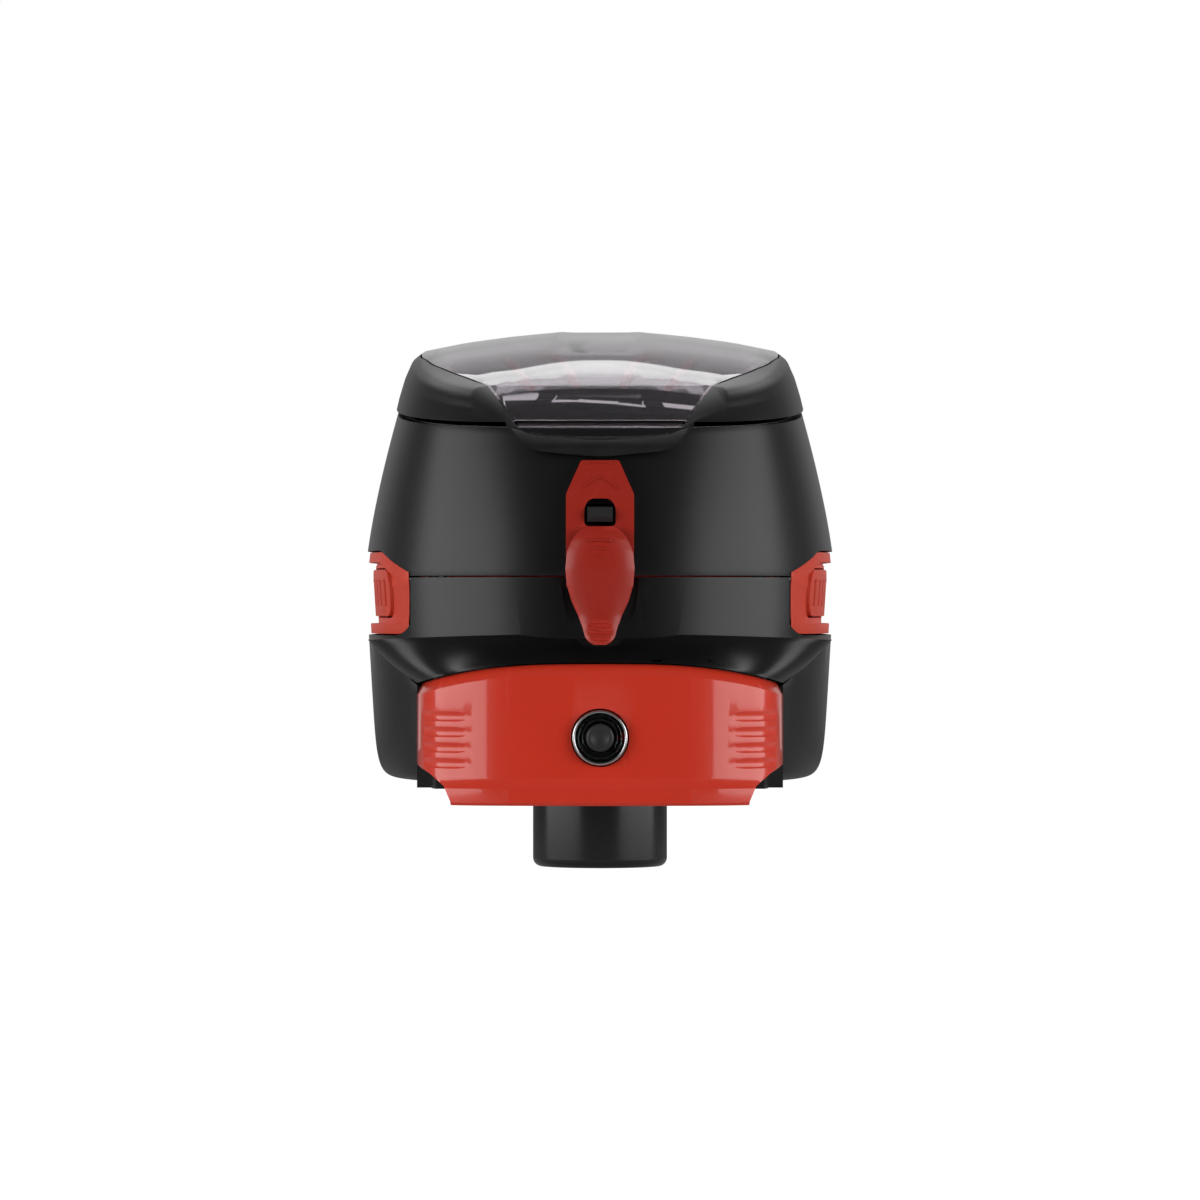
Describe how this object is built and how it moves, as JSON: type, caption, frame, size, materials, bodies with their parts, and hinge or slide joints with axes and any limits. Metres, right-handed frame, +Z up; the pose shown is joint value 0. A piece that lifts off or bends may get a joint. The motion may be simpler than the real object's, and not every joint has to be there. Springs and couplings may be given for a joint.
{
  "type": "paintball loader",
  "caption": "Motorised ball hopper with clear flip lid, rear latch, side pads, slide-off tail cover and a round feed neck.",
  "frame": {"origin": "centre of the feed neck's open lower end", "axes": "+Z up out of the neck, +Y towards the nose, -Y towards the power button, X = 0 is the plane of symmetry"},
  "size_m": [0.0874, 0.2012, 0.1021],
  "materials": {
    "shell_black": "satin moulded",
    "panel_red": "gloss",
    "latch_red": "satin",
    "grip_red": "soft",
    "frame_black": "satin",
    "smoke_clear": "polished",
    "neck_grey": "semi-gloss",
    "steel": "bright",
    "chrome": "polished",
    "brass": "turned",
    "gear_white": "moulded",
    "inner_black": "moulded",
    "board_green": "coated board",
    "cell_wrap": "printed sleeve, plain",
    "led_red": "clear tinted",
    "button_dark": "soft touch"
  },
  "bodies": {
    "housing": {"upper_shell": "shell_black", "lower_shell": "shell_black", "lid_hinge_pin": "steel", "lid_spring": "steel", "side_grip_left": "grip_red", "side_grip_right": "grip_red", "side_spring_left": "steel", "side_spring_right": "steel", "latch_strap": "latch_red", "latch_bracket": "inner_black", "latch_catch": "inner_black", "lever_pin": "steel", "striker_pin": "steel", "feed_neck": "neck_grey", "raceway": "inner_black", "shaft_bushing": "brass", "idler_pin": "steel", "gear_plate": "inner_black", "motor": "steel", "eye_emitter": "inner_black", "eye_receiver": "inner_black", "raceway_screw_front_left": "steel", "raceway_screw_front_right": "steel", "raceway_screw_rear_left": "steel", "raceway_screw_rear_right": "steel", "battery_tray": "inner_black", "battery_1": "cell_wrap", "battery_2": "cell_wrap", "battery_3": "cell_wrap", "contact_left": "steel", "contact_right": "steel", "control_board": "board_green", "tact_switch": "inner_black", "status_led": "led_red"},
    "lid": {"lid_frame": "frame_black", "lid_window": "smoke_clear"},
    "latch_lever": {"latch_lever": "latch_red"},
    "side_button_left": {"side_button_left": "grip_red"},
    "side_button_right": {"side_button_right": "grip_red"},
    "tail_cover": {"tail_cover": "panel_red", "power_bezel": "chrome", "power_lens": "smoke_clear"},
    "power_button": {"power_button": "button_dark"},
    "rotor": {"rotor": "panel_red", "rotor_shaft": "steel", "drive_gear": "gear_white"},
    "idler": {"idler_gear": "gear_white"},
    "pinion": {"motor_pinion": "brass", "motor_shaft": "steel"}
  },
  "joints": [
    {"name": "lid_hinge", "type": "hinge", "parent": "housing", "child": "lid", "pos_m": [0, 0.0605, 0.094], "axis": [-1, 0, 0], "range_deg": [0, 100]},
    {"name": "latch_lever_hinge", "type": "hinge", "parent": "housing", "child": "latch_lever", "pos_m": [0, -0.0677, 0.0601], "axis": [-1, 0, 0], "range_deg": [0, 18], "stiffness_Nm_per_rad": 0.05, "springref_deg": -2.86},
    {"name": "side_button_left_press", "type": "slide", "parent": "housing", "child": "side_button_left", "axis": [1, 0, 0], "range_m": [0, 0.0012], "stiffness_N_per_m": 900, "springref_m": -0.001},
    {"name": "side_button_right_press", "type": "slide", "parent": "housing", "child": "side_button_right", "axis": [-1, 0, 0], "range_m": [0, 0.0012], "stiffness_N_per_m": 900, "springref_m": -0.001},
    {"name": "tail_cover_slide", "type": "slide", "parent": "housing", "child": "tail_cover", "axis": [0, -1, 0], "range_m": [0, 0.04]},
    {"name": "power_button_press", "type": "slide", "parent": "tail_cover", "child": "power_button", "axis": [0, 1, 0], "range_m": [0, 0.001], "stiffness_N_per_m": 600, "springref_m": -0.001},
    {"name": "rotor_spin", "type": "hinge", "parent": "housing", "child": "rotor", "pos_m": [0, 0.027, 0.05], "axis": [0, 0, 1], "continuous": true},
    {"name": "idler_spin", "type": "hinge", "parent": "housing", "child": "idler", "pos_m": [0, 0.049, 0.038], "axis": [0, 0, 1], "continuous": true},
    {"name": "pinion_spin", "type": "hinge", "parent": "housing", "child": "pinion", "pos_m": [0, 0.0635, 0.038], "axis": [0, 0, 1], "continuous": true}
  ],
  "couplings": [
    {"joint": "idler_spin", "follows": "rotor_spin", "ratio": -1.2},
    {"joint": "pinion_spin", "follows": "rotor_spin", "ratio": 2.6667}
  ]
}
